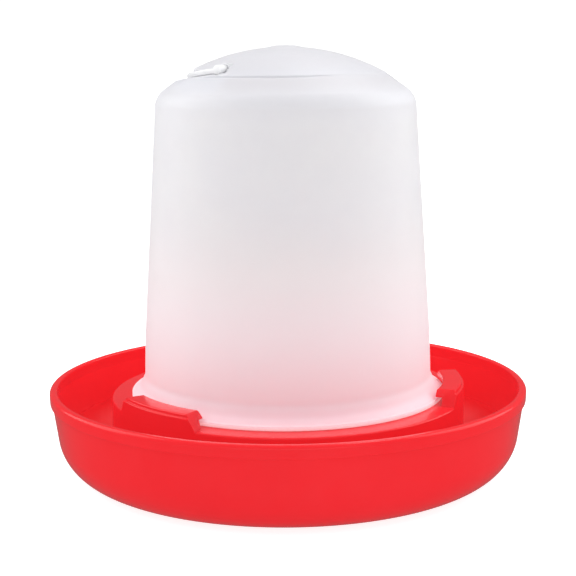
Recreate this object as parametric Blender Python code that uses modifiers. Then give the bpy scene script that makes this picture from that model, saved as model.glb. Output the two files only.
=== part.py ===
"""Siphon drinker for poultry: a red tray, a translucent bell and a folding half-ring carry handle.

The vertical axis of the drinker is Z, it stands on Z = 0 and -Y is its front. All sizes below are in
millimetres and become metres in one place, the function metres(). An azimuth is measured in degrees from
the front, turning towards +X.
"""

import math

import bmesh
import bpy
from mathutils import Matrix, Vector

MM = 0.001
TURN_STEPS = 60
CLEARANCE = 0.3

# Tray
TRAY_RADIUS = 102.3
TRAY_HEIGHT = 37.8
TRAY_SKIN = 2.2
WALL_LEAN = math.radians(9.3)
LIP_HEIGHT = 5.2
LIP_PROUD = 1.1
FOOT_RADIUS = 79.4
FOOT_CURVE = 19.76
COLLAR_RADIUS = 75.8
LEDGE_HEIGHT = 33.2
DISH_RADIUS = 58.8
DISH_DEPTH = 7.5

# Outlet channel across the ledge, between two hooks
CHANNEL_AZIMUTH = 133.0
CHANNEL_WIDTH = 14.0
CHANNEL_DEPTH = 6.0

# Retaining hooks
HOOK_AZIMUTHS = (-47.0, 83.0, 198.0)
HOOK_FOOT_HALF_ANGLE = 19.4
HOOK_TOP_HALF_ANGLE = 14.8
HOOK_TOP = 39.7
HOOK_STEP = 38.2
HOOK_NOSE_RADIUS = 66.9
HOOK_NOSE_UNDERSIDE = 36.6
HOOK_WALL_RADIUS = 70.0
HOOK_OUTER_RADIUS = 75.4
HOOK_ROOT = 1.0

# Reservoir
FLANGE_RADIUS = 67.2
FLANGE_THICKNESS = 1.8
BELL_SKIN = 1.8
MOUTH_RADIUS = 63.4
BELL_FOOT_RADIUS = 61.0
BELL_FOOT_HEIGHT = 60.0
SHOULDER_CENTRE_RADIUS = 45.8
SHOULDER_CENTRE_HEIGHT = 155.9
SHOULDER_CURVE = 9.0
SHOULDER_END_ANGLE = 53.0
DOME_CURVE = 86.5
DOME_TOP = 180.7
DOME_SKIN = 2.0
DOME_BASE_RADIUS = 42.0
TOP_BOSS_RADIUS = 7.0
TOP_BOSS_RISE = 0.5

# Carry handle, folded into the recess round the left and back of the dome
HINGE_AZIMUTH = 138.5
HINGE_HEIGHT = 171.8
HANDLE_OUTER_RADIUS = 41.2
HANDLE_INNER_RADIUS = 38.8
HANDLE_ABOVE_HINGE = 0.9
HANDLE_BELOW_HINGE = 1.3
HANDLE_DROOP = math.radians(6.0)
HANDLE_EDGE = 0.5
HANDLE_STEPS = 30
EYE_RADIUS = 2.0
EYE_START = 36.9
EYE_END = 41.5
EYE_POCKET_RADIUS = 2.3
EYE_POCKET_START = 36.5
EYE_POCKET_END = 43.0
PIN_RADIUS = 1.2
PIN_REACH = 33.6
SOCKET_RADIUS = 1.5
SOCKET_REACH = 33.2
SOCKET_BOSS_RADIUS = 2.6
SOCKET_BOSS_REACH = 31.0
RECESS_RADIUS = 38.4
RECESS_FLOOR = 170.2
RECESS_OVERRUN = 5.5


def metres(*millimetres):
    return Vector(value * MM for value in millimetres)


def direction(azimuth):
    """Unit vector in the XY plane at an azimuth in degrees from the front."""
    angle = math.radians(azimuth)
    return Vector((math.sin(angle), -math.cos(angle), 0.0))


def arc(centre, radius, start, end, steps):
    """Points (r, z) of an arc, with both angles in degrees above the outward direction."""
    points = []
    for step in range(steps + 1):
        angle = math.radians(start + (end - start) * step / steps)
        points.append((centre[0] + radius * math.cos(angle), centre[1] + radius * math.sin(angle)))
    return points


def dome_height(radius, curve, top):
    return top - curve + math.sqrt(curve**2 - radius**2)


def recess_floor_height(distance):
    """Height of the recess floor at a distance from the hinge axis, towards the handle's arc."""
    return RECESS_FLOOR - distance * math.tan(HANDLE_DROOP)


def clear_scene():
    for old in list(bpy.data.objects):
        bpy.data.objects.remove(old)


def new_collection(name):
    collection = bpy.data.collections.new(name)
    bpy.context.scene.collection.children.link(collection)
    return collection


def plastic(name, colour, roughness, transmission=0.0):
    material = bpy.data.materials.new(name)
    material.use_nodes = True
    shader = material.node_tree.nodes["Principled BSDF"]
    shader.inputs["Base Color"].default_value = (*colour, 1.0)
    shader.inputs["Roughness"].default_value = roughness
    shader.inputs["Metallic"].default_value = 0.0
    shader.inputs["Transmission Weight"].default_value = transmission
    return material


def add_object(name, mesh, collection, material=None):
    obj = bpy.data.objects.new(name, mesh)
    collection.objects.link(obj)
    if material:
        mesh.materials.append(material)
    return obj


def turned(name, outline, collection, material):
    """A full turn of an outline (r, z) whose two ends lie on the axis."""
    mesh = bpy.data.meshes.new(name)
    points = [metres(r, 0.0, z) for r, z in outline]
    mesh.from_pydata(points, [(i, i + 1) for i in range(len(points) - 1)], [])
    obj = add_object(name, mesh, collection, material)
    screw = obj.modifiers.new("turn", "SCREW")
    screw.axis = "Z"
    screw.steps = TURN_STEPS
    screw.render_steps = TURN_STEPS
    screw.use_merge_vertices = True
    screw.merge_threshold = 0.00001
    screw.use_smooth_shade = True
    return obj


def swept(name, outline, start, sweep, steps, collection):
    """A solid swept round Z from one closed outline (r, z), over part of a turn, in degrees."""
    mesh = bpy.data.meshes.new(name)
    shape = bmesh.new()
    face = shape.faces.new([shape.verts.new(metres(r, 0.0, z)) for r, z in outline])
    bmesh.ops.rotate(
        shape,
        verts=shape.verts[:],
        cent=(0.0, 0.0, 0.0),
        matrix=Matrix.Rotation(math.radians(start - 90.0), 3, "Z"),
    )
    bmesh.ops.spin(
        shape,
        geom=[face, *face.edges, *face.verts],
        cent=(0.0, 0.0, 0.0),
        axis=(0.0, 0.0, 1.0),
        angle=math.radians(sweep),
        steps=steps,
    )
    bmesh.ops.recalc_face_normals(shape, faces=shape.faces[:])
    shape.to_mesh(mesh)
    shape.free()
    return add_object(name, mesh, collection)


def rod(name, radius, azimuth, height, inner, outer, sides, collection):
    """A round rod lying along one azimuth, between two distances from the axis."""
    mesh = bpy.data.meshes.new(name)
    shape = bmesh.new()
    bmesh.ops.create_cone(
        shape,
        cap_ends=True,
        segments=sides,
        radius1=radius * MM,
        radius2=radius * MM,
        depth=(outer - inner) * MM,
    )
    shape.to_mesh(mesh)
    shape.free()
    obj = add_object(name, mesh, collection)
    way = direction(azimuth)
    obj.location = way * (inner + outer) / 2 * MM + metres(0.0, 0.0, height)
    obj.rotation_euler = way.to_track_quat("Z", "Y").to_euler()
    return obj


def radial_block(name, azimuth, width, inner, outer, bottom, top, collection):
    """A box lying along one azimuth, between two distances from the axis."""
    mesh = bpy.data.meshes.new(name)
    shape = bmesh.new()
    bmesh.ops.create_cube(shape, size=1.0)
    bmesh.ops.scale(shape, vec=metres(outer - inner, width, top - bottom), verts=shape.verts[:])
    shape.to_mesh(mesh)
    shape.free()
    obj = add_object(name, mesh, collection)
    middle = direction(azimuth) * (inner + outer) / 2 * MM
    obj.location = middle + metres(0.0, 0.0, (bottom + top) / 2)
    obj.rotation_euler.z = math.radians(azimuth - 90.0)
    return obj


def combine(obj, operation, others):
    for other in others:
        boolean = obj.modifiers.new(other.name, "BOOLEAN")
        boolean.operation = operation
        boolean.solver = "EXACT"
        boolean.object = other


def tray_outline():
    """Dish, ledge, collar, trough, rolled lip, outer wall and underside, in that order."""
    dish_floor = LEDGE_HEIGHT - DISH_DEPTH
    curve_centre = (FOOT_RADIUS, FOOT_CURVE)
    lean = math.degrees(WALL_LEAN)
    lip_bottom = TRAY_HEIGHT - LIP_HEIGHT
    wall_top = TRAY_RADIUS - LIP_PROUD
    ledge_underside = LEDGE_HEIGHT - TRAY_SKIN
    collar_inside = COLLAR_RADIUS - TRAY_SKIN

    dish = [
        (0.0, dish_floor),
        (DISH_RADIUS - 3.3, dish_floor),
        (DISH_RADIUS - 1.8, dish_floor + 1.3),
        (DISH_RADIUS - 0.8, LEDGE_HEIGHT - 1.0),
    ]
    ledge = [
        (DISH_RADIUS, LEDGE_HEIGHT),
        (COLLAR_RADIUS - 0.8, LEDGE_HEIGHT),
        (COLLAR_RADIUS - 0.2, LEDGE_HEIGHT - 0.3),
        (COLLAR_RADIUS, LEDGE_HEIGHT - 1.0),
    ]
    collar_foot = [
        (COLLAR_RADIUS + 0.7, TRAY_SKIN + 3.0),
        (COLLAR_RADIUS + 1.4, TRAY_SKIN + 0.9),
    ]
    trough = arc(curve_centre, FOOT_CURVE - TRAY_SKIN, -90.0, -lean, 5)
    lip = [
        (TRAY_RADIUS - 3.1, lip_bottom),
        (TRAY_RADIUS - 3.4, TRAY_HEIGHT - 1.2),
        (TRAY_RADIUS - 2.8, TRAY_HEIGHT - 0.3),
        (TRAY_RADIUS - 1.8, TRAY_HEIGHT),
        (TRAY_RADIUS - 0.6, TRAY_HEIGHT - 0.7),
        (TRAY_RADIUS, TRAY_HEIGHT - 2.2),
        (TRAY_RADIUS - 0.2, lip_bottom + 0.4),
        (TRAY_RADIUS - 0.6, lip_bottom),
        (wall_top, lip_bottom - 0.2),
    ]
    foot = arc(curve_centre, FOOT_CURVE, -lean, -90.0, 5)
    underside = [
        (collar_inside, 0.0),
        (collar_inside - 0.4, ledge_underside),
        (DISH_RADIUS + 1.8, ledge_underside),
        (DISH_RADIUS + 0.4, dish_floor - 1.2),
        (DISH_RADIUS - 0.8, dish_floor - TRAY_SKIN),
        (0.0, dish_floor - TRAY_SKIN),
    ]
    return dish + ledge + collar_foot + trough + lip + foot + underside


def hook_outline():
    """A wall that stands on the ledge, with a thick plate reaching inward over the flange."""
    return [
        (HOOK_OUTER_RADIUS, LEDGE_HEIGHT - HOOK_ROOT),
        (HOOK_OUTER_RADIUS, HOOK_STEP),
        (HOOK_OUTER_RADIUS - 0.5, HOOK_STEP + 0.1),
        (HOOK_OUTER_RADIUS - 0.5, HOOK_TOP - 0.5),
        (HOOK_OUTER_RADIUS - 1.0, HOOK_TOP),
        (HOOK_NOSE_RADIUS + 0.6, HOOK_TOP),
        (HOOK_NOSE_RADIUS, HOOK_TOP - 0.6),
        (HOOK_NOSE_RADIUS, HOOK_NOSE_UNDERSIDE + 0.4),
        (HOOK_NOSE_RADIUS + 0.4, HOOK_NOSE_UNDERSIDE),
        (HOOK_WALL_RADIUS, HOOK_NOSE_UNDERSIDE),
        (HOOK_WALL_RADIUS, LEDGE_HEIGHT - HOOK_ROOT),
    ]


def make_hook(name, azimuth, collection):
    """A hook whose two ends slope in, so that it is shorter at the top than on the ledge."""
    half = HOOK_FOOT_HALF_ANGLE
    hook = swept(name, hook_outline(), -half, 2 * half, 8, collection)
    for vertex in hook.data.vertices:
        x, y, z = vertex.co
        rise = (z / MM - LEDGE_HEIGHT) / (HOOK_TOP - LEDGE_HEIGHT)
        narrowing = 1.0 + rise * (HOOK_TOP_HALF_ANGLE / HOOK_FOOT_HALF_ANGLE - 1.0)
        radius = math.hypot(x, y)
        place = math.degrees(math.atan2(x, -y)) * narrowing
        vertex.co = direction(place) * radius + Vector((0.0, 0.0, z))
    hook.rotation_euler.z = math.radians(azimuth)
    return hook


def make_tray(parts, cutters):
    red = plastic("tray_red", (0.86, 0.02, 0.03), 0.28)
    tray = turned("tray", tray_outline(), parts, red)
    channel_floor = LEDGE_HEIGHT - CHANNEL_DEPTH
    channel_body = radial_block(
        "channel_body",
        CHANNEL_AZIMUTH,
        CHANNEL_WIDTH + 2 * TRAY_SKIN,
        DISH_RADIUS,
        COLLAR_RADIUS - 0.9,
        channel_floor - TRAY_SKIN,
        LEDGE_HEIGHT - 0.7,
        cutters,
    )
    hooks = []
    for number, azimuth in enumerate(HOOK_AZIMUTHS, start=1):
        hooks.append(make_hook(f"hook_{number}", azimuth, cutters))
    channel = radial_block(
        "outlet_channel",
        CHANNEL_AZIMUTH,
        CHANNEL_WIDTH,
        DISH_RADIUS - 4.0,
        COLLAR_RADIUS + 4.0,
        channel_floor,
        LEDGE_HEIGHT + 2.0,
        cutters,
    )
    combine(tray, "UNION", [channel_body])
    combine(tray, "DIFFERENCE", [channel])
    combine(tray, "UNION", hooks)
    return tray


def reservoir_outline():
    """The outside from the top of the dome down to the flange, then the inside back up."""
    flange_bottom = LEDGE_HEIGHT + CLEARANCE
    flange_top = flange_bottom + FLANGE_THICKNESS
    shoulder = (SHOULDER_CENTRE_RADIUS, SHOULDER_CENTRE_HEIGHT)
    wall_top_radius = SHOULDER_CENTRE_RADIUS + SHOULDER_CURVE
    wall_lean = math.degrees(
        math.atan2(BELL_FOOT_RADIUS - wall_top_radius, SHOULDER_CENTRE_HEIGHT - BELL_FOOT_HEIGHT)
    )
    base_top = dome_height(DOME_BASE_RADIUS, DOME_CURVE, DOME_TOP)
    recess_inside = RECESS_RADIUS - DOME_SKIN
    inner_step = recess_floor_height(RECESS_RADIUS + 3.0) - DOME_SKIN

    outside = [
        (0.0, DOME_TOP + TOP_BOSS_RISE),
        (TOP_BOSS_RADIUS - 1.0, DOME_TOP + TOP_BOSS_RISE - 0.2),
    ]
    for step in range(6):
        radius = TOP_BOSS_RADIUS + 1.5 + (DOME_BASE_RADIUS - TOP_BOSS_RADIUS - 1.5) * step / 5
        outside.append((radius, dome_height(radius, DOME_CURVE, DOME_TOP)))
    outside += [
        (DOME_BASE_RADIUS + 0.4, base_top - 0.9),
        (DOME_BASE_RADIUS + 1.8, base_top - 1.3),
    ]
    outside += arc(shoulder, SHOULDER_CURVE, SHOULDER_END_ANGLE, wall_lean, 4)
    outside += [
        (BELL_FOOT_RADIUS, BELL_FOOT_HEIGHT),
        (BELL_FOOT_RADIUS + 0.4, flange_top + 9.2),
        (BELL_FOOT_RADIUS + 1.0, flange_top + 6.2),
        (BELL_FOOT_RADIUS + 2.1, flange_top + 3.5),
        (BELL_FOOT_RADIUS + 3.6, flange_top + 1.5),
        (FLANGE_RADIUS - 0.8, flange_top + 0.4),
        (FLANGE_RADIUS, flange_top - 0.2),
        (FLANGE_RADIUS, flange_bottom + 0.3),
        (FLANGE_RADIUS - 0.3, flange_bottom),
    ]
    inside = [
        (MOUTH_RADIUS, flange_bottom),
        (MOUTH_RADIUS - 1.6, flange_top + 1.7),
        (MOUTH_RADIUS - 3.0, flange_top + 4.6),
        (BELL_FOOT_RADIUS - BELL_SKIN + 0.3, flange_top + 9.0),
        (BELL_FOOT_RADIUS - BELL_SKIN, BELL_FOOT_HEIGHT),
    ]
    inside += arc(shoulder, SHOULDER_CURVE - BELL_SKIN, wall_lean, SHOULDER_END_ANGLE, 4)
    inside += [
        (DOME_BASE_RADIUS + 1.0, inner_step - 0.4),
        (recess_inside + 0.3, inner_step),
    ]
    for step in range(5):
        radius = (recess_inside - 0.3) * (1.0 - step / 4)
        inside.append((radius, dome_height(radius, DOME_CURVE - DOME_SKIN, DOME_TOP - DOME_SKIN)))
    return outside + inside


def make_recess(cutters):
    """The space for the folded handle, with a flat floor that droops away from the hinge."""
    outline = [
        (RECESS_RADIUS, RECESS_FLOOR),
        (RECESS_RADIUS + 12.0, RECESS_FLOOR),
        (RECESS_RADIUS + 12.0, DOME_TOP),
        (RECESS_RADIUS, DOME_TOP),
    ]
    start = HINGE_AZIMUTH - RECESS_OVERRUN
    sweep = 180.0 + 2 * RECESS_OVERRUN
    recess = swept("handle_recess", outline, start, sweep, HANDLE_STEPS, cutters)
    arc_side = direction(HINGE_AZIMUTH + 90.0)
    for vertex in recess.data.vertices:
        if vertex.co.z < DOME_TOP * MM - 0.001:
            vertex.co.z = recess_floor_height(vertex.co.dot(arc_side) / MM) * MM
    return recess


def make_front_hollow(cutters):
    """Thins the plain half of the dome's edge from inside, where no handle lies."""
    inner_step = recess_floor_height(RECESS_RADIUS + 3.0) - DOME_SKIN
    outline = [
        (RECESS_RADIUS - DOME_SKIN - 1.0, inner_step - 4.0),
        (DOME_BASE_RADIUS + 0.6, inner_step - 4.0),
        (DOME_BASE_RADIUS + 0.6, DOME_TOP - 13.9),
        (DOME_BASE_RADIUS - 1.0, DOME_TOP - 12.6),
        (RECESS_RADIUS - DOME_SKIN - 1.0, DOME_TOP - 9.3),
    ]
    start = HINGE_AZIMUTH + 180.0 + RECESS_OVERRUN + 4.0
    sweep = 180.0 - 2 * RECESS_OVERRUN - 8.0
    return swept("front_hollow", outline, start, sweep, HANDLE_STEPS, cutters)


def make_reservoir(parts, cutters):
    milky = plastic("natural_polypropylene", (0.88, 0.88, 0.9), 0.35, 0.6)
    reservoir = turned("reservoir", reservoir_outline(), parts, milky)
    recess = make_recess(cutters)
    hollow = make_front_hollow(cutters)
    bosses = []
    pockets = []
    sockets = []
    for number in range(2):
        azimuth = HINGE_AZIMUTH + 180.0 * number
        bosses.append(
            rod(
                f"socket_boss_{number + 1}",
                SOCKET_BOSS_RADIUS,
                azimuth,
                HINGE_HEIGHT,
                SOCKET_BOSS_REACH,
                EYE_POCKET_START - 0.1,
                16,
                cutters,
            )
        )
        pockets.append(
            rod(
                f"eye_pocket_{number + 1}",
                EYE_POCKET_RADIUS,
                azimuth,
                HINGE_HEIGHT,
                EYE_POCKET_START,
                EYE_POCKET_END,
                16,
                cutters,
            )
        )
        sockets.append(
            rod(
                f"pin_socket_{number + 1}",
                SOCKET_RADIUS,
                azimuth,
                HINGE_HEIGHT,
                SOCKET_REACH,
                RECESS_RADIUS + 1.0,
                16,
                cutters,
            )
        )
    combine(reservoir, "DIFFERENCE", [hollow])
    combine(reservoir, "UNION", bosses)
    combine(reservoir, "DIFFERENCE", [recess, *pockets, *sockets])
    return reservoir


def handle_outline():
    edge = HANDLE_EDGE
    bottom = HINGE_HEIGHT - HANDLE_BELOW_HINGE
    top = HINGE_HEIGHT + HANDLE_ABOVE_HINGE
    return [
        (HANDLE_INNER_RADIUS, bottom),
        (HANDLE_OUTER_RADIUS - edge, bottom),
        (HANDLE_OUTER_RADIUS, bottom + edge),
        (HANDLE_OUTER_RADIUS, top - edge),
        (HANDLE_OUTER_RADIUS - edge, top),
        (HANDLE_INNER_RADIUS + edge, top),
        (HANDLE_INNER_RADIUS, top - edge),
    ]


def make_handle(parts, cutters):
    """The half ring with an eye and an inward hinge pin at each end, on an empty at its hinge axis."""
    milky = plastic("handle_polypropylene", (0.88, 0.88, 0.9), 0.35, 0.6)
    handle = swept("carry_handle", handle_outline(), HINGE_AZIMUTH, 180.0, HANDLE_STEPS, parts)
    handle.data.materials.append(milky)
    place = metres(0.0, 0.0, HINGE_HEIGHT)
    droop = Matrix.Rotation(-HANDLE_DROOP, 4, direction(HINGE_AZIMUTH))
    handle.data.transform(Matrix.Translation(place) @ droop @ Matrix.Translation(-place))
    ends = []
    for number in range(2):
        azimuth = HINGE_AZIMUTH + 180.0 * number
        ends.append(
            rod(
                f"handle_eye_{number + 1}",
                EYE_RADIUS,
                azimuth,
                HINGE_HEIGHT,
                EYE_START,
                EYE_END,
                16,
                cutters,
            )
        )
        ends.append(
            rod(
                f"hinge_pin_{number + 1}",
                PIN_RADIUS,
                azimuth,
                HINGE_HEIGHT,
                PIN_REACH,
                EYE_START + 1.0,
                12,
                cutters,
            )
        )
    combine(handle, "UNION", ends)
    hinge = bpy.data.objects.new("handle_hinge", None)
    hinge.location = place
    parts.objects.link(hinge)
    handle.parent = hinge
    handle.matrix_parent_inverse = Matrix.Translation(-hinge.location)
    return handle


def hide_cutters(cutters):
    for cutter in cutters.objects:
        cutter.hide_render = True
        cutter.display_type = "WIRE"


def main():
    clear_scene()
    parts = new_collection("poultry_waterer")
    cutters = new_collection("cutters")
    make_tray(parts, cutters)
    reservoir = make_reservoir(parts, cutters)
    handle = make_handle(parts, cutters)
    hide_cutters(cutters)
    handle.parent.parent = reservoir


main()
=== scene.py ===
"""Looks of the poultry drinker: its red tray, milky bell and folding handle, on a plain pale floor.

Lengths named here are in millimetres, as the object would be drawn, and become metres in metres().
An azimuth is measured in degrees from the front (-Y), turning towards +X.
"""

import math

import bmesh
import bpy
from mathutils import Matrix, Vector


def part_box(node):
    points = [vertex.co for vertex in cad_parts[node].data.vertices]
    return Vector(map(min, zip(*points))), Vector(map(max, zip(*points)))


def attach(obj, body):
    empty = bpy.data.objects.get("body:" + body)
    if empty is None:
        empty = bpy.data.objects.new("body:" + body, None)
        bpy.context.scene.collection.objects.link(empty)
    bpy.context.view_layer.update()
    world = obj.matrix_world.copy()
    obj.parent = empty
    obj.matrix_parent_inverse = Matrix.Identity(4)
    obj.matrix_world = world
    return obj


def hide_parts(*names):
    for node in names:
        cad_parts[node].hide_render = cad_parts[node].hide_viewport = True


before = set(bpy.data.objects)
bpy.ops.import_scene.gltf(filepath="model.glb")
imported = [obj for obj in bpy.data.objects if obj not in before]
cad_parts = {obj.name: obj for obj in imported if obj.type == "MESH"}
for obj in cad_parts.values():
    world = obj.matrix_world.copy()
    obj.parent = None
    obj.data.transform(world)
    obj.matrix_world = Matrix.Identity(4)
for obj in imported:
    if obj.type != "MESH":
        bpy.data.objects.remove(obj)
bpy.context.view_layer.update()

MM = 0.001
TURN_STEPS = 320
TRAY_LOW, TRAY_HIGH = (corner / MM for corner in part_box("tray"))
BELL_LOW, BELL_HIGH = (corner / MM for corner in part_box("reservoir"))
HANDLE_LOW, HANDLE_HIGH = (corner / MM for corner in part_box("carry_handle"))

# Tray
TRAY_RADIUS = TRAY_HIGH.x
HOOK_TOP = TRAY_HIGH.z
RIM_HEIGHT = 37.8
TRAY_SKIN = 2.2
LIP_HEIGHT = 5.2
FOOT_RADIUS = 79.4
FOOT_CURVE = 19.76
WALL_LEAN = 9.3
COLLAR_RADIUS = 75.8
LEDGE_HEIGHT = 33.2
DISH_RADIUS = 58.8
DISH_FLOOR = 25.7
CHANNEL_AZIMUTH = 133.0
CHANNEL_WIDTH = 14.0
CHANNEL_FLOOR = 27.2

# Retaining hooks
HOOK_AZIMUTHS = (-47.0, 83.0, 198.0)
HOOK_FOOT_HALF_ANGLE = 19.4
HOOK_TOP_HALF_ANGLE = 14.8
HOOK_STEP = HOOK_TOP - 1.5
HOOK_NOSE_RADIUS = 66.9
HOOK_NOSE_UNDERSIDE = 36.6
HOOK_WALL_RADIUS = 70.0
HOOK_OUTER_RADIUS = COLLAR_RADIUS + 0.04

# Bell
BELL_TOP = BELL_HIGH.z
FLANGE_BOTTOM = BELL_LOW.z
FLANGE_RADIUS = BELL_HIGH.x
FLANGE_TOP = FLANGE_BOTTOM + 1.8
BELL_SKIN = 1.8
BELL_FOOT_RADIUS = 61.0
BELL_FOOT_HEIGHT = 60.0
SHOULDER_CENTRE = (45.8, 155.9)
SHOULDER_CURVE = 9.0
SHOULDER_END_ANGLE = 53.0
BELL_WALL_TOP = SHOULDER_CENTRE[0] + SHOULDER_CURVE
BELL_LEAN = math.degrees(
    math.atan2(BELL_FOOT_RADIUS - BELL_WALL_TOP, SHOULDER_CENTRE[1] - BELL_FOOT_HEIGHT)
)
TOP_BOSS_RISE = 0.5
TOP_BOSS_RADIUS = 4.5
TOP_BOSS_SLOPE = 4.0
DOME_CURVE = 86.5
DOME_TOP = BELL_TOP - TOP_BOSS_RISE
DOME_BASE_RADIUS = 42.0
DOME_SKIN = 2.0
DOME_INNER_STEP = 3.6

# Step at the dome's base, full round the left and fading out on the right
BASE_STEP_AZIMUTH = -90.0
BASE_STEP_REACH = 128.0
BASE_STEP_FADE = 45.0
BASE_STEP_DEPTH = 0.7

# Handle and its recess in the dome
HINGE_AZIMUTH = 138.5
HINGE_HEIGHT = 171.8
HANDLE_INNER_RADIUS = 38.8
HANDLE_OUTER_RADIUS = 41.2
HANDLE_ABOVE_HINGE = 0.9
HANDLE_BELOW_HINGE = 1.3
HANDLE_DROOP = math.radians(6.0)
EYE_RADIUS = min(2.0, HANDLE_HIGH.z - HINGE_HEIGHT)
EYE_START = 36.9
EYE_END = 41.5
EYE_POCKET_RADIUS = 2.06
EYE_POCKET_START = 36.82
EYE_POCKET_END = 43.0
PIN_RADIUS = 1.2
PIN_REACH = 33.6
SOCKET_RADIUS = 1.5
SOCKET_REACH = 33.2
RECESS_RADIUS = 38.4
RECESS_FLOOR = 170.2
RECESS_OVERRUN = 5.5
RECESS_WIDTH = 12.0

# Camera
CAMERA_PLACE = (0.0, -0.599702, 0.182587)
CAMERA_YAW = 0.00059
CAMERA_PITCH = -0.172
CAMERA_ROLL = -0.00769
CAMERA_LENS = 88.58


def metres(*millimetres):
    return Vector(value * MM for value in millimetres)


def direction(azimuth):
    angle = math.radians(azimuth)
    return Vector((math.sin(angle), -math.cos(angle), 0.0))


def arc(centre, radius, start, end, steps):
    """Points (r, z) of an arc, with both angles in degrees above the outward direction."""
    points = []
    for step in range(steps + 1):
        angle = math.radians(start + (end - start) * step / steps)
        points.append((centre[0] + radius * math.cos(angle), centre[1] + radius * math.sin(angle)))
    return points


def filleted(corners, steps=6):
    """An outline through corners (r, z, fillet radius), each corner replaced by an arc."""
    points = []
    for index, (r, z, fillet) in enumerate(corners):
        here = Vector((r, z))
        if not fillet or index in (0, len(corners) - 1):
            points.append((r, z))
            continue
        back = Vector(corners[index - 1][:2]) - here
        ahead = Vector(corners[index + 1][:2]) - here
        half = back.angle(ahead) / 2
        reach = min(fillet / math.tan(half), 0.49 * back.length, 0.49 * ahead.length)
        centre = here + (back.normalized() + ahead.normalized()).normalized() * reach / math.cos(half)
        first = here + back.normalized() * reach - centre
        turn = first.angle_signed(here + ahead.normalized() * reach - centre)
        for step in range(steps + 1):
            spoke = first.copy()
            spoke.rotate(Matrix.Rotation(-turn * step / steps, 2))
            points.append(tuple(centre + spoke))
    return points


def full_turn(steps):
    return [360.0 * step / steps for step in range(steps)]


def ease(share):
    """Keeps a share within 0 to 1 and rounds off both ends of its slope."""
    share = min(1.0, max(0.0, share))
    return share * share * (3.0 - 2.0 * share)


def new_object(name, mesh):
    obj = bpy.data.objects.new(name, mesh)
    bpy.context.scene.collection.objects.link(obj)
    return obj


def grid_solid(name, azimuths, outline_at):
    """A solid of revolution whose outline (r, z), from axis to axis, may change with the azimuth."""
    shape = bmesh.new()
    first = outline_at(azimuths[0])
    poles = [shape.verts.new(metres(0.0, 0.0, first[end][1])) for end in (0, -1)]
    columns = []
    for azimuth in azimuths:
        way = direction(azimuth)
        column = [
            shape.verts.new(way * r * MM + metres(0.0, 0.0, z)) for r, z in outline_at(azimuth)[1:-1]
        ]
        columns.append([poles[0], *column, poles[1]])
    for one, two in zip(columns, columns[1:] + columns[:1]):
        for row in range(len(one) - 1):
            corners = [one[row], one[row + 1], two[row + 1], two[row]]
            shape.faces.new(list(dict.fromkeys(corners)))
    bmesh.ops.recalc_face_normals(shape, faces=shape.faces[:])
    mesh = bpy.data.meshes.new(name)
    shape.to_mesh(mesh)
    shape.free()
    return new_object(name, mesh)


def swept(name, outline, start, sweep, steps):
    """A solid swept round Z from one closed outline (r, z), over part of a turn, in degrees."""
    shape = bmesh.new()
    columns = []
    for step in range(steps + 1):
        way = direction(start + sweep * step / steps)
        columns.append([shape.verts.new(way * r * MM + metres(0.0, 0.0, z)) for r, z in outline])
    count = len(outline)
    for one, two in zip(columns, columns[1:]):
        for row in range(count):
            after = (row + 1) % count
            shape.faces.new([one[row], one[after], two[after], two[row]])
    shape.faces.new(columns[0])
    shape.faces.new(columns[-1][::-1])
    bmesh.ops.recalc_face_normals(shape, faces=shape.faces[:])
    mesh = bpy.data.meshes.new(name)
    shape.to_mesh(mesh)
    shape.free()
    return new_object(name, mesh)


def rod(name, radius, azimuth, height, inner, outer, sides=48, edge=0.0):
    """A round rod along one azimuth, between two distances from the axis, with rounded outer edge."""
    outline = filleted([(0.0, inner, 0.0), (radius, inner, 0.0), (radius, outer, edge), (0.0, outer, 0.0)], 4)
    rod_object = grid_solid(name, full_turn(sides), lambda side: outline)
    way = direction(azimuth)
    place = Matrix.Translation(metres(0.0, 0.0, height)) @ way.to_track_quat("Z", "Y").to_matrix().to_4x4()
    rod_object.data.transform(place)
    return rod_object


def radial_block(name, azimuth, width, inner, outer, bottom, top):
    """A box along one azimuth, between two distances from the axis."""
    shape = bmesh.new()
    bmesh.ops.create_cube(shape, size=1.0)
    bmesh.ops.scale(shape, vec=metres(outer - inner, width, top - bottom), verts=shape.verts[:])
    mesh = bpy.data.meshes.new(name)
    shape.to_mesh(mesh)
    shape.free()
    middle = direction(azimuth) * (inner + outer) / 2 * MM + metres(0.0, 0.0, (bottom + top) / 2)
    mesh.transform(Matrix.Translation(middle) @ Matrix.Rotation(math.radians(azimuth - 90.0), 4, "Z"))
    return new_object(name, mesh)


def rounded_edges(obj, width, segments=3, angle=40.0):
    bevel = obj.modifiers.new("rounded_edges", "BEVEL")
    bevel.width = width * MM
    bevel.segments = segments
    bevel.limit_method = "ANGLE"
    bevel.angle_limit = math.radians(angle)
    apply_modifiers(obj)


def apply_modifiers(obj):
    graph = bpy.context.evaluated_depsgraph_get()
    mesh = bpy.data.meshes.new_from_object(obj.evaluated_get(graph))
    obj.modifiers.clear()
    obj.data = mesh


def combine(obj, operation, others):
    """Joins others to obj, or cuts them out of it, and removes them."""
    for other in others:
        boolean = obj.modifiers.new(other.name, "BOOLEAN")
        boolean.operation = operation
        boolean.solver = "EXACT"
        boolean.object = other
    apply_modifiers(obj)
    for other in others:
        bpy.data.objects.remove(other)


def finish_surface(obj, material, angle=35.0):
    """Smooth shading with sharp edges kept, and the one material."""
    obj.data.shade_smooth()
    obj.data.set_sharp_from_angle(angle=math.radians(angle))
    obj.data.materials.clear()
    obj.data.materials.append(material)


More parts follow.
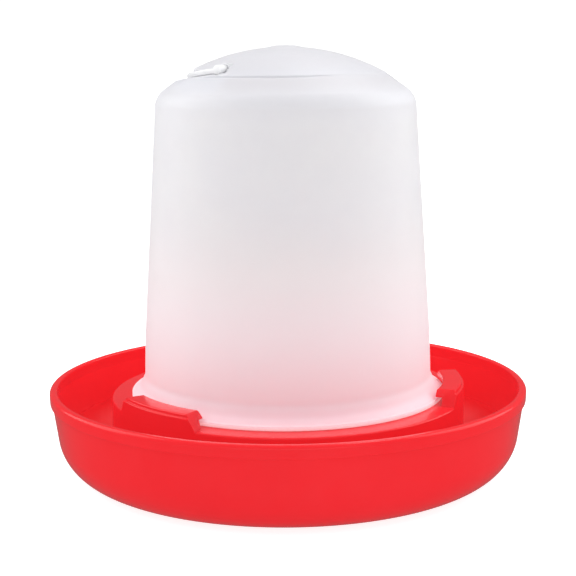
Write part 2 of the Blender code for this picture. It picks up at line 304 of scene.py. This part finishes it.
def tray_outline():
    """Dish, ledge, collar, trough, rolled lip, outer wall and underside, in that order."""
    curve_centre = (FOOT_RADIUS, FOOT_CURVE)
    lip_bottom = RIM_HEIGHT - LIP_HEIGHT
    ledge_underside = LEDGE_HEIGHT - TRAY_SKIN
    top = filleted(
        [
            (0.0, DISH_FLOOR, 0.0),
            (DISH_RADIUS - 2.2, DISH_FLOOR, 1.6),
            (DISH_RADIUS - 0.5, LEDGE_HEIGHT, 0.7),
            (COLLAR_RADIUS, LEDGE_HEIGHT, 0.8),
            (COLLAR_RADIUS + 0.9, TRAY_SKIN, 2.2),
            (FOOT_RADIUS, TRAY_SKIN, 0.0),
        ]
    )
    trough = arc(curve_centre, FOOT_CURVE - TRAY_SKIN, -90.0, -WALL_LEAN, 20)[1:]
    wall_start = arc(curve_centre, FOOT_CURVE, -WALL_LEAN, -WALL_LEAN, 1)[0]
    lip = filleted(
        [
            (*trough[-1], 0.0),
            (TRAY_RADIUS - 3.1, lip_bottom, 2.0),
            (TRAY_RADIUS - 3.4, RIM_HEIGHT, 0.8),
            (TRAY_RADIUS, RIM_HEIGHT, 1.8),
            (TRAY_RADIUS - 0.2, lip_bottom, 0.4),
            (TRAY_RADIUS - 1.1, lip_bottom - 0.1, 0.25),
            (*wall_start, 0.0),
        ]
    )[1:-1]
    foot = arc(curve_centre, FOOT_CURVE, -WALL_LEAN, -90.0, 24)
    underside = filleted(
        [
            (*foot[-1], 0.0),
            (COLLAR_RADIUS - TRAY_SKIN, 0.0, 0.6),
            (COLLAR_RADIUS - TRAY_SKIN - 0.4, ledge_underside, 0.8),
            (DISH_RADIUS + 1.6, ledge_underside, 0.8),
            (DISH_RADIUS + 0.1, DISH_FLOOR - TRAY_SKIN, 1.6),
            (0.0, DISH_FLOOR - TRAY_SKIN, 0.0),
        ]
    )[1:]
    return top + trough + lip + foot + underside


def hook_outline():
    """A wall on the ledge that goes down inside the collar, with a thick plate reaching inward."""
    return [
        (COLLAR_RADIUS - 0.5, LEDGE_HEIGHT - 6.0),
        (HOOK_OUTER_RADIUS, LEDGE_HEIGHT - 2.0),
        (HOOK_OUTER_RADIUS, HOOK_STEP - 0.3),
        (HOOK_OUTER_RADIUS - 0.3, HOOK_STEP),
        (HOOK_OUTER_RADIUS - 0.8, HOOK_STEP + 0.1),
        (HOOK_OUTER_RADIUS - 0.9, HOOK_TOP - 0.4),
        (HOOK_OUTER_RADIUS - 1.3, HOOK_TOP),
        (HOOK_NOSE_RADIUS + 0.5, HOOK_TOP),
        (HOOK_NOSE_RADIUS, HOOK_TOP - 0.5),
        (HOOK_NOSE_RADIUS, HOOK_NOSE_UNDERSIDE + 0.3),
        (HOOK_NOSE_RADIUS + 0.3, HOOK_NOSE_UNDERSIDE),
        (HOOK_WALL_RADIUS, HOOK_NOSE_UNDERSIDE),
        (HOOK_WALL_RADIUS, LEDGE_HEIGHT - 6.0),
    ]


def make_hook(name, azimuth):
    """A hook whose two ends slope in, so that it is shorter at the top than on the ledge."""
    half = HOOK_FOOT_HALF_ANGLE
    hook = swept(name, hook_outline(), -half, 2 * half, 40)
    for vertex in hook.data.vertices:
        x, y, z = vertex.co
        rise = max(0.0, (z / MM - LEDGE_HEIGHT) / (HOOK_TOP - LEDGE_HEIGHT))
        narrowing = 1.0 + rise * (HOOK_TOP_HALF_ANGLE / HOOK_FOOT_HALF_ANGLE - 1.0)
        radius = math.hypot(x, y)
        place = math.degrees(math.atan2(x, -y)) * narrowing
        vertex.co = direction(place) * radius + Vector((0.0, 0.0, z))
    hook.data.transform(Matrix.Rotation(math.radians(azimuth), 4, "Z"))
    rounded_edges(hook, 0.3)
    return hook


def make_tray(red):
    outline = tray_outline()
    tray = grid_solid("tray_moulding", full_turn(TURN_STEPS), lambda azimuth: outline)
    channel_body = radial_block(
        "channel_body",
        CHANNEL_AZIMUTH,
        CHANNEL_WIDTH + 2 * TRAY_SKIN,
        DISH_RADIUS,
        COLLAR_RADIUS - 0.9,
        CHANNEL_FLOOR - TRAY_SKIN,
        LEDGE_HEIGHT - 0.7,
    )
    channel = radial_block(
        "outlet_channel",
        CHANNEL_AZIMUTH,
        CHANNEL_WIDTH,
        DISH_RADIUS - 4.0,
        COLLAR_RADIUS + 4.0,
        CHANNEL_FLOOR,
        LEDGE_HEIGHT + 2.0,
    )
    rounded_edges(channel, 0.8)
    combine(tray, "UNION", [channel_body])
    combine(tray, "DIFFERENCE", [channel])
    hooks = [make_hook(f"hook_{number}", azimuth) for number, azimuth in enumerate(HOOK_AZIMUTHS)]
    combine(tray, "UNION", hooks)
    finish_surface(tray, red)
    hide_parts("tray")
    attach(tray, "tray")


def dome_height(radius, curve, top):
    return top - curve + math.sqrt(curve**2 - radius**2)


def recess_floor_height(distance):
    """Height of the recess floor at a distance from the hinge axis, towards the handle's arc."""
    return RECESS_FLOOR - distance * math.tan(HANDLE_DROOP)


def degrees_apart(azimuth, other):
    return abs((azimuth - other + 180.0) % 360.0 - 180.0)


def recess_share_at(azimuth):
    """1 where the bell has the handle's recess, 0 on the plain part of the dome."""
    away = degrees_apart(azimuth, HINGE_AZIMUTH + 90.0)
    return ease((90.0 + RECESS_OVERRUN + 4.0 - away) / 3.0)


def base_step_at(azimuth):
    """1 where the dome's base has its full step, falling off round the front to the right."""
    return ease((BASE_STEP_REACH - degrees_apart(azimuth, BASE_STEP_AZIMUTH)) / BASE_STEP_FADE)


def bell_outside(step_share):
    """From the top of the dome down to the flange."""
    base_top = dome_height(DOME_BASE_RADIUS, DOME_CURVE, DOME_TOP)
    outside = [(0.0, BELL_TOP)]
    for step in range(1, 33):
        radius = (DOME_BASE_RADIUS - 0.8) * step / 32
        fall = min(1.0, max(0.0, (radius - TOP_BOSS_RADIUS) / TOP_BOSS_SLOPE))
        boss = TOP_BOSS_RISE * (1.0 - fall) ** 1.5
        outside.append((radius, dome_height(radius, DOME_CURVE, DOME_TOP) + boss))
    outside += filleted(
        [
            (DOME_BASE_RADIUS - 0.6, dome_height(DOME_BASE_RADIUS - 0.6, DOME_CURVE, DOME_TOP), 0.0),
            (DOME_BASE_RADIUS, base_top, 0.3),
            (DOME_BASE_RADIUS + 0.3, base_top - 0.3 - BASE_STEP_DEPTH * step_share, 0.4),
            (DOME_BASE_RADIUS + 1.8, base_top - 1.3, 2.0),
            (*arc(SHOULDER_CENTRE, SHOULDER_CURVE, SHOULDER_END_ANGLE, SHOULDER_END_ANGLE, 1)[0], 0.0),
        ]
    )[:-1]
    outside += arc(SHOULDER_CENTRE, SHOULDER_CURVE, SHOULDER_END_ANGLE, BELL_LEAN, 16)
    for step in range(1, 12):
        share = step / 12
        radius = BELL_WALL_TOP + (BELL_FOOT_RADIUS - BELL_WALL_TOP) * share
        height = SHOULDER_CENTRE[1] + (BELL_FOOT_HEIGHT - SHOULDER_CENTRE[1]) * share
        outside.append((radius, height))
    return outside + filleted(
        [
            (BELL_FOOT_RADIUS, BELL_FOOT_HEIGHT, 0.0),
            (BELL_FOOT_RADIUS + 0.5, FLANGE_TOP + 7.0, 6.0),
            (BELL_FOOT_RADIUS + 2.4, FLANGE_TOP + 2.6, 5.0),
            (FLANGE_RADIUS - 1.2, FLANGE_TOP + 0.3, 1.0),
            (FLANGE_RADIUS, FLANGE_TOP, 0.35),
            (FLANGE_RADIUS, FLANGE_BOTTOM, 0.3),
            (64.0, FLANGE_BOTTOM, 0.0),
        ]
    )


def bell_inside(recess_share):
    """From the mouth up to the dome, with a deeper step under the handle's recess."""
    inside = filleted(
        [
            (63.4, FLANGE_BOTTOM, 0.3),
            (61.4, FLANGE_TOP + 2.4, 3.0),
            (BELL_FOOT_RADIUS - BELL_SKIN + 0.4, FLANGE_TOP + 8.0, 5.0),
            (BELL_FOOT_RADIUS - BELL_SKIN, BELL_FOOT_HEIGHT, 0.0),
        ]
    )
    inside += arc(SHOULDER_CENTRE, SHOULDER_CURVE - BELL_SKIN, BELL_LEAN, SHOULDER_END_ANGLE, 10)
    low_step = recess_floor_height(RECESS_RADIUS + 3.0) - DOME_SKIN
    step_height = low_step + (1.0 - recess_share) * DOME_INNER_STEP
    wall = RECESS_RADIUS - DOME_SKIN
    curve = DOME_CURVE - DOME_SKIN
    top = DOME_TOP - DOME_SKIN
    inside += filleted(
        [
            (DOME_BASE_RADIUS + 2.5, step_height - 1.2, 0.0),
            (DOME_BASE_RADIUS + 0.4, step_height, 1.0),
            (wall + 0.2, step_height + 0.4, 0.8),
            (wall - 0.2, dome_height(wall, curve, top), 0.8),
            (wall - 5.0, dome_height(wall - 5.0, curve, top), 0.0),
        ]
    )
    for step in range(1, 11):
        radius = (wall - 5.0) * (1.0 - step / 10)
        inside.append((radius, dome_height(radius, curve, top)))
    return inside


def make_recess():
    """The space for the folded handle, with a flat floor that droops away from the hinge."""
    outline = [
        (RECESS_RADIUS, RECESS_FLOOR),
        (RECESS_RADIUS + RECESS_WIDTH, RECESS_FLOOR),
        (RECESS_RADIUS + RECESS_WIDTH, DOME_TOP),
        (RECESS_RADIUS - 0.2, DOME_TOP),
    ]
    start = HINGE_AZIMUTH - RECESS_OVERRUN
    recess = swept("handle_recess", outline, start, 180.0 + 2 * RECESS_OVERRUN, 170)
    arc_side = direction(HINGE_AZIMUTH + 90.0)
    for vertex in recess.data.vertices:
        if vertex.co.z < DOME_TOP * MM - 0.001:
            vertex.co.z = recess_floor_height(vertex.co.dot(arc_side) / MM) * MM
    rounded_edges(recess, 0.4, 3, 60.0)
    return recess


def make_bell(milky):
    def outline_at(azimuth):
        return bell_outside(base_step_at(azimuth)) + bell_inside(recess_share_at(azimuth))

    bell = grid_solid("bell_moulding", full_turn(TURN_STEPS), outline_at)
    bosses = []
    pockets = []
    sockets = []
    for number in range(2):
        azimuth = HINGE_AZIMUTH + 180.0 * number
        bosses.append(rod(f"boss_{number}", 2.6, azimuth, HINGE_HEIGHT, 31.0, EYE_POCKET_START - 0.1))
        pockets.append(
            rod(
                f"eye_pocket_{number}",
                EYE_POCKET_RADIUS,
                azimuth,
                HINGE_HEIGHT,
                EYE_POCKET_START,
                EYE_POCKET_END,
            )
        )
        sockets.append(
            rod(f"socket_{number}", SOCKET_RADIUS, azimuth, HINGE_HEIGHT, SOCKET_REACH, RECESS_RADIUS + 1.0)
        )
    combine(bell, "UNION", bosses)
    combine(bell, "DIFFERENCE", [make_recess(), *pockets, *sockets])
    finish_surface(bell, milky)
    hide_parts("reservoir")
    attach(bell, "bell")


def make_handle(plastic):
    """The half ring with an eye and an inward hinge pin at each end."""
    edge = 0.6
    bottom = HINGE_HEIGHT - HANDLE_BELOW_HINGE
    top = HINGE_HEIGHT + HANDLE_ABOVE_HINGE
    outline = filleted(
        [
            (HANDLE_INNER_RADIUS + 1.0, bottom, 0.0),
            (HANDLE_OUTER_RADIUS, bottom, edge),
            (HANDLE_OUTER_RADIUS, top, edge),
            (HANDLE_INNER_RADIUS, top, edge),
            (HANDLE_INNER_RADIUS, bottom, 0.3),
            (HANDLE_INNER_RADIUS + 0.9, bottom, 0.0),
        ],
        5,
    )
    handle = swept("carry_handle_strap", outline, HINGE_AZIMUTH, 180.0, 120)
    place = metres(0.0, 0.0, HINGE_HEIGHT)
    droop = Matrix.Rotation(-HANDLE_DROOP, 4, direction(HINGE_AZIMUTH))
    handle.data.transform(Matrix.Translation(place) @ droop @ Matrix.Translation(-place))
    ends = []
    for number in range(2):
        azimuth = HINGE_AZIMUTH + 180.0 * number
        ends.append(rod(f"eye_{number}", EYE_RADIUS, azimuth, HINGE_HEIGHT, EYE_START, EYE_END, edge=0.5))
        ends.append(rod(f"pin_{number}", PIN_RADIUS, azimuth, HINGE_HEIGHT, PIN_REACH, EYE_START + 1.0))
    combine(handle, "UNION", ends)
    finish_surface(handle, plastic)
    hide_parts("carry_handle")
    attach(handle, "handle")


def new_material(name):
    """A material with a Principled shader, and its node tree."""
    material = bpy.data.materials.new(name)
    material.use_nodes = True
    tree = material.node_tree
    return material, tree, tree.nodes["Principled BSDF"]


def noise(tree, scale, detail=3.0, stretch=(1.0, 1.0, 1.0), roughness=0.55):
    """A noise value in object space, where scale is in repeats to the metre."""
    place = tree.nodes.new("ShaderNodeTexCoord")
    mapping = tree.nodes.new("ShaderNodeMapping")
    mapping.inputs["Scale"].default_value = stretch
    texture = tree.nodes.new("ShaderNodeTexNoise")
    texture.inputs["Scale"].default_value = scale
    texture.inputs["Detail"].default_value = detail
    texture.inputs["Roughness"].default_value = roughness
    tree.links.new(place.outputs["Object"], mapping.inputs["Vector"])
    tree.links.new(mapping.outputs["Vector"], texture.inputs["Vector"])
    return texture.outputs["Fac"]


def spread(tree, value, low, high, from_low=0.3, from_high=0.7):
    """Maps a noise value to a range of numbers."""
    node = tree.nodes.new("ShaderNodeMapRange")
    node.inputs["From Min"].default_value = from_low
    node.inputs["From Max"].default_value = from_high
    node.inputs["To Min"].default_value = low
    node.inputs["To Max"].default_value = high
    tree.links.new(value, node.inputs["Value"])
    return node.outputs["Result"]


def blend_colours(tree, value, low, high):
    node = tree.nodes.new("ShaderNodeMix")
    node.data_type = "RGBA"
    node.inputs["A"].default_value = (*low, 1.0)
    node.inputs["B"].default_value = (*high, 1.0)
    tree.links.new(value, node.inputs["Factor"])
    return node.outputs["Result"]


def height_share(tree, none, full):
    """0 at one height and 1 at the other, in metres, easing between them."""
    place = tree.nodes.new("ShaderNodeTexCoord")
    split = tree.nodes.new("ShaderNodeSeparateXYZ")
    tree.links.new(place.outputs["Object"], split.inputs["Vector"])
    share = tree.nodes.new("ShaderNodeMapRange")
    share.interpolation_type = "SMOOTHSTEP"
    share.inputs["From Min"].default_value = none
    share.inputs["From Max"].default_value = full
    tree.links.new(split.outputs["Z"], share.inputs["Value"])
    return share.outputs["Result"]


def mix_colours(tree, share, first, second):
    """A colour socket mixed with a fixed colour."""
    node = tree.nodes.new("ShaderNodeMix")
    node.data_type = "RGBA"
    tree.links.new(share, node.inputs["Factor"])
    tree.links.new(first, node.inputs["A"])
    node.inputs["B"].default_value = (*second, 1.0)
    return node.outputs["Result"]


def add_bump(tree, shader, layers):
    """Stacks bumps, each (height, distance in metres, strength), on the shader's normal."""
    normal = None
    for height, distance, strength in layers:
        bump = tree.nodes.new("ShaderNodeBump")
        bump.inputs["Distance"].default_value = distance
        bump.inputs["Strength"].default_value = strength
        tree.links.new(height, bump.inputs["Height"])
        if normal:
            tree.links.new(normal, bump.inputs["Normal"])
        normal = bump.outputs["Normal"]
    tree.links.new(normal, shader.inputs["Normal"])


def ease_value(tree, share, value, full):
    """A value socket that goes over to a fixed value."""
    node = tree.nodes.new("ShaderNodeMapRange")
    node.inputs["To Max"].default_value = full
    tree.links.new(share, node.inputs["Value"])
    tree.links.new(value, node.inputs["To Min"])
    return node.outputs["Result"]


def trough_share(tree):
    """1 on the inner face of the tray's curved wall, low in the trough, and 0 outside."""
    place = tree.nodes.new("ShaderNodeTexCoord")
    split = tree.nodes.new("ShaderNodeSeparateXYZ")
    tree.links.new(place.outputs["Object"], split.inputs["Vector"])
    level = tree.nodes.new("ShaderNodeCombineXYZ")
    tree.links.new(split.outputs["X"], level.inputs["X"])
    tree.links.new(split.outputs["Y"], level.inputs["Y"])
    radius = tree.nodes.new("ShaderNodeVectorMath")
    radius.operation = "LENGTH"
    tree.links.new(level.outputs["Vector"], radius.inputs[0])
    section = tree.nodes.new("ShaderNodeCombineXYZ")
    tree.links.new(radius.outputs["Value"], section.inputs["X"])
    tree.links.new(split.outputs["Z"], section.inputs["Y"])
    from_centre = tree.nodes.new("ShaderNodeVectorMath")
    from_centre.operation = "DISTANCE"
    from_centre.inputs[1].default_value = metres(FOOT_RADIUS, FOOT_CURVE, 0.0)
    tree.links.new(section.outputs["Vector"], from_centre.inputs[0])
    middle = FOOT_CURVE - TRAY_SKIN / 2
    inside = tree.nodes.new("ShaderNodeMapRange")
    inside.inputs["From Min"].default_value = (middle + 0.3) * MM
    inside.inputs["From Max"].default_value = (middle - 0.3) * MM
    tree.links.new(from_centre.outputs["Value"], inside.inputs["Value"])
    return ease_value(tree, height_share(tree, 0.012, 0.022), inside.outputs["Result"], 0.0)


def red_plastic():
    """Polished all over but for the bottom of the trough, which is duller, with a faint even painted light
    added as emission.
    """
    material, tree, shader = new_material("tray_red")
    cloud = spread(tree, noise(tree, 28.0), 0.0, 1.0)
    colour = blend_colours(tree, cloud, (0.835, 0.0110, 0.0165), (0.865, 0.0135, 0.0200))
    tree.links.new(colour, shader.inputs["Base Color"])
    polish = spread(tree, noise(tree, 140.0, 5.0), 0.13, 0.20)
    dulled = ease_value(tree, trough_share(tree), polish, 0.42)
    tree.links.new(dulled, shader.inputs["Roughness"])
    shader.inputs["IOR"].default_value = 1.49
    shader.inputs["Specular IOR Level"].default_value = 0.31
    # Painted light: a faint even red emission over the whole tray, lifting its shaded inside.
    shader.inputs["Emission Color"].default_value = (0.045, 0.0080, 0.0100, 1.0)
    shader.inputs["Emission Strength"].default_value = 1.0
    add_bump(tree, shader, [(noise(tree, 60.0, 2.0), 0.00008, 0.1)])
    return material


def handle_plastic():
    """The bell's plastic, without the bell's change of colour with height."""
    material, tree, shader = new_material("handle_polypropylene")
    cloud = noise(tree, 90.0, 4.0)
    colour = blend_colours(tree, spread(tree, cloud, 0.0, 1.0), (0.81, 0.81, 0.83), (0.85, 0.85, 0.87))
    tree.links.new(colour, shader.inputs["Base Color"])
    tree.links.new(spread(tree, noise(tree, 420.0), 0.30, 0.42), shader.inputs["Roughness"])
    set_translucent(shader)
    add_bump(tree, shader, [(noise(tree, 1800.0, 2.0), 0.00002, 0.3)])
    return material


def set_translucent(shader):
    """Light passes a few millimetres into the plastic."""
    shader.inputs["IOR"].default_value = 1.49
    shader.inputs["Specular IOR Level"].default_value = 0.4
    shader.subsurface_method = "RANDOM_WALK"
    shader.inputs["Subsurface Weight"].default_value = 1.0
    shader.inputs["Subsurface Radius"].default_value = (1.0, 1.0, 1.0)
    shader.inputs["Subsurface Scale"].default_value = 0.004


def milky_plastic():
    """Cool, with painted shade greying the top of the dome, painted red light from the tray blushing it
    towards the foot, and painted emission low down and along the flange's edge, with flow lines.
    """
    material, tree, shader = new_material("natural_polypropylene")
    flow = noise(tree, 420.0, 4.0, (1.0, 1.0, 0.05))
    cloud = noise(tree, 45.0, 4.0)
    body = blend_colours(tree, spread(tree, cloud, 0.0, 1.0), (0.835, 0.850, 0.915), (0.865, 0.880, 0.940))
    # Painted shade: the top of the dome is darkened to a duller grey.
    crown_painted_shade = mix_colours(tree, height_share(tree, 0.150, 0.172), body, (0.695, 0.695, 0.735))
    # Painted light: from 125 mm down the bell turns lighter and pinker, redder towards the foot and most at
    # the flange, standing in for red light thrown up by the tray.
    lower_painted_light = mix_colours(tree, height_share(tree, 0.125, 0.075), crown_painted_shade, (0.95, 0.90, 0.935))
    foot = mix_colours(tree, height_share(tree, 0.100, 0.038), lower_painted_light, (1.0, 0.84, 0.885))
    rim_painted_blush = mix_colours(tree, height_share(tree, 0.046, 0.037), foot, (0.95, 0.72, 0.77))
    tree.links.new(rim_painted_blush, shader.inputs["Base Color"])
    # Painted light: emission lights the bell from 112 mm down, and a brighter emission band at the flange's
    # bottom edge is a painted highlight line.
    painted_glow = blend_colours(tree, height_share(tree, 0.112, 0.050), (0.0, 0.0, 0.0), (0.105, 0.05, 0.065))
    edge = mix_colours(tree, height_share(tree, 0.0352, 0.0346), painted_glow, (0.26, 0.21, 0.215))
    tree.links.new(edge, shader.inputs["Emission Color"])
    shader.inputs["Emission Strength"].default_value = 1.0
    polish = spread(tree, flow, 0.36, 0.48)
    tree.links.new(polish, shader.inputs["Roughness"])
    set_translucent(shader)
    add_bump(
        tree,
        shader,
        [
            (noise(tree, 1800.0, 2.0), 0.00002, 0.3),
            (flow, 0.00006, 0.25),
        ],
    )
    return material


def seen_strength(tree, lighting, gloss, camera):
    """Separate strengths for lighting the object, for its gloss and as seen by the camera."""
    path = tree.nodes.new("ShaderNodeLightPath")
    reflected = tree.nodes.new("ShaderNodeMapRange")
    reflected.inputs["To Min"].default_value = lighting
    reflected.inputs["To Max"].default_value = gloss
    tree.links.new(path.outputs["Is Glossy Ray"], reflected.inputs["Value"])
    strength = tree.nodes.new("ShaderNodeMapRange")
    strength.inputs["To Max"].default_value = camera
    tree.links.new(reflected.outputs["Result"], strength.inputs["To Min"])
    tree.links.new(path.outputs["Is Camera Ray"], strength.inputs["Value"])
    return strength.outputs["Result"]


def floor_material():
    material, tree, shader = new_material("floor_pale")
    cloud = spread(tree, noise(tree, 3.0), 0.0, 1.0)
    colour = blend_colours(tree, cloud, (0.56, 0.56, 0.56), (0.58, 0.58, 0.58))
    tree.links.new(colour, shader.inputs["Base Color"])
    shader.inputs["Roughness"].default_value = 0.9
    shader.inputs["Specular IOR Level"].default_value = 0.0
    shader.inputs["Emission Color"].default_value = (1.0, 1.0, 1.0, 1.0)
    tree.links.new(seen_strength(tree, 0.40, 0.40, 0.85), shader.inputs["Emission Strength"])
    return material


def make_floor():
    mesh = bpy.data.meshes.new("floor")
    half = 8.0
    mesh.from_pydata(
        [(-half, -half, 0.0), (half, -half, 0.0), (half, half, 0.0), (-half, half, 0.0)],
        [],
        [(0, 1, 2, 3)],
    )
    mesh.materials.append(floor_material())
    floor = new_object("floor", mesh)
    floor.visible_glossy = False


def area_light(name, place, aim, size, power):
    light = bpy.data.lights.new(name, "AREA")
    light.shape = "RECTANGLE"
    light.size, light.size_y = size
    light.energy = power
    lamp = new_object(name, light)
    lamp.location = place
    lamp.rotation_euler = (Vector(aim) - Vector(place)).to_track_quat("-Z", "Y").to_euler()
    return lamp


def make_lights():
    middle = (0.0, 0.0, 0.1)
    area_light("softbox_left", (-1.2, 0.35, 0.85), middle, (1.2, 1.3), 8.2)
    area_light("softbox_right", (1.2, 0.35, 0.85), middle, (1.2, 1.3), 8.2)
    area_light("softbox_front", (0.0, -1.9, 0.45), middle, (2.2, 0.9), 3.0)
    area_light("softbox_top", (0.3, 0.5, 1.15), middle, (0.5, 0.35), 2.0)
    sun = bpy.data.lights.new("overhead", "SUN")
    sun.energy = 0.75
    sun.angle = math.radians(90.0)
    overhead = new_object("overhead", sun)
    overhead.location = (0.0, 0.0, 2.0)
    overhead.visible_glossy = False
    world = bpy.data.worlds.new("studio")
    world.use_nodes = True
    tree = world.node_tree
    background = tree.nodes["Background"]
    background.inputs["Color"].default_value = (1.0, 1.0, 1.0, 1.0)
    tree.links.new(seen_strength(tree, 0.68, 0.16, 1.1), background.inputs["Strength"])
    bpy.context.scene.world = world


def make_camera():
    data = bpy.data.cameras.new("camera")
    data.sensor_width = 36.0
    data.lens = CAMERA_LENS
    data.clip_start = 0.01
    camera = new_object("camera", data)
    upright = Matrix.Rotation(math.pi / 2 + CAMERA_PITCH, 4, "X")
    camera.matrix_world = (
        Matrix.Translation(CAMERA_PLACE)
        @ Matrix.Rotation(-CAMERA_YAW, 4, "Z")
        @ upright
        @ Matrix.Rotation(CAMERA_ROLL, 4, "Z")
    )
    bpy.context.scene.camera = camera


bpy.context.scene.view_settings.view_transform = "Standard"
make_tray(red_plastic())
make_bell(milky_plastic())
make_handle(handle_plastic())
make_floor()
make_lights()
make_camera()
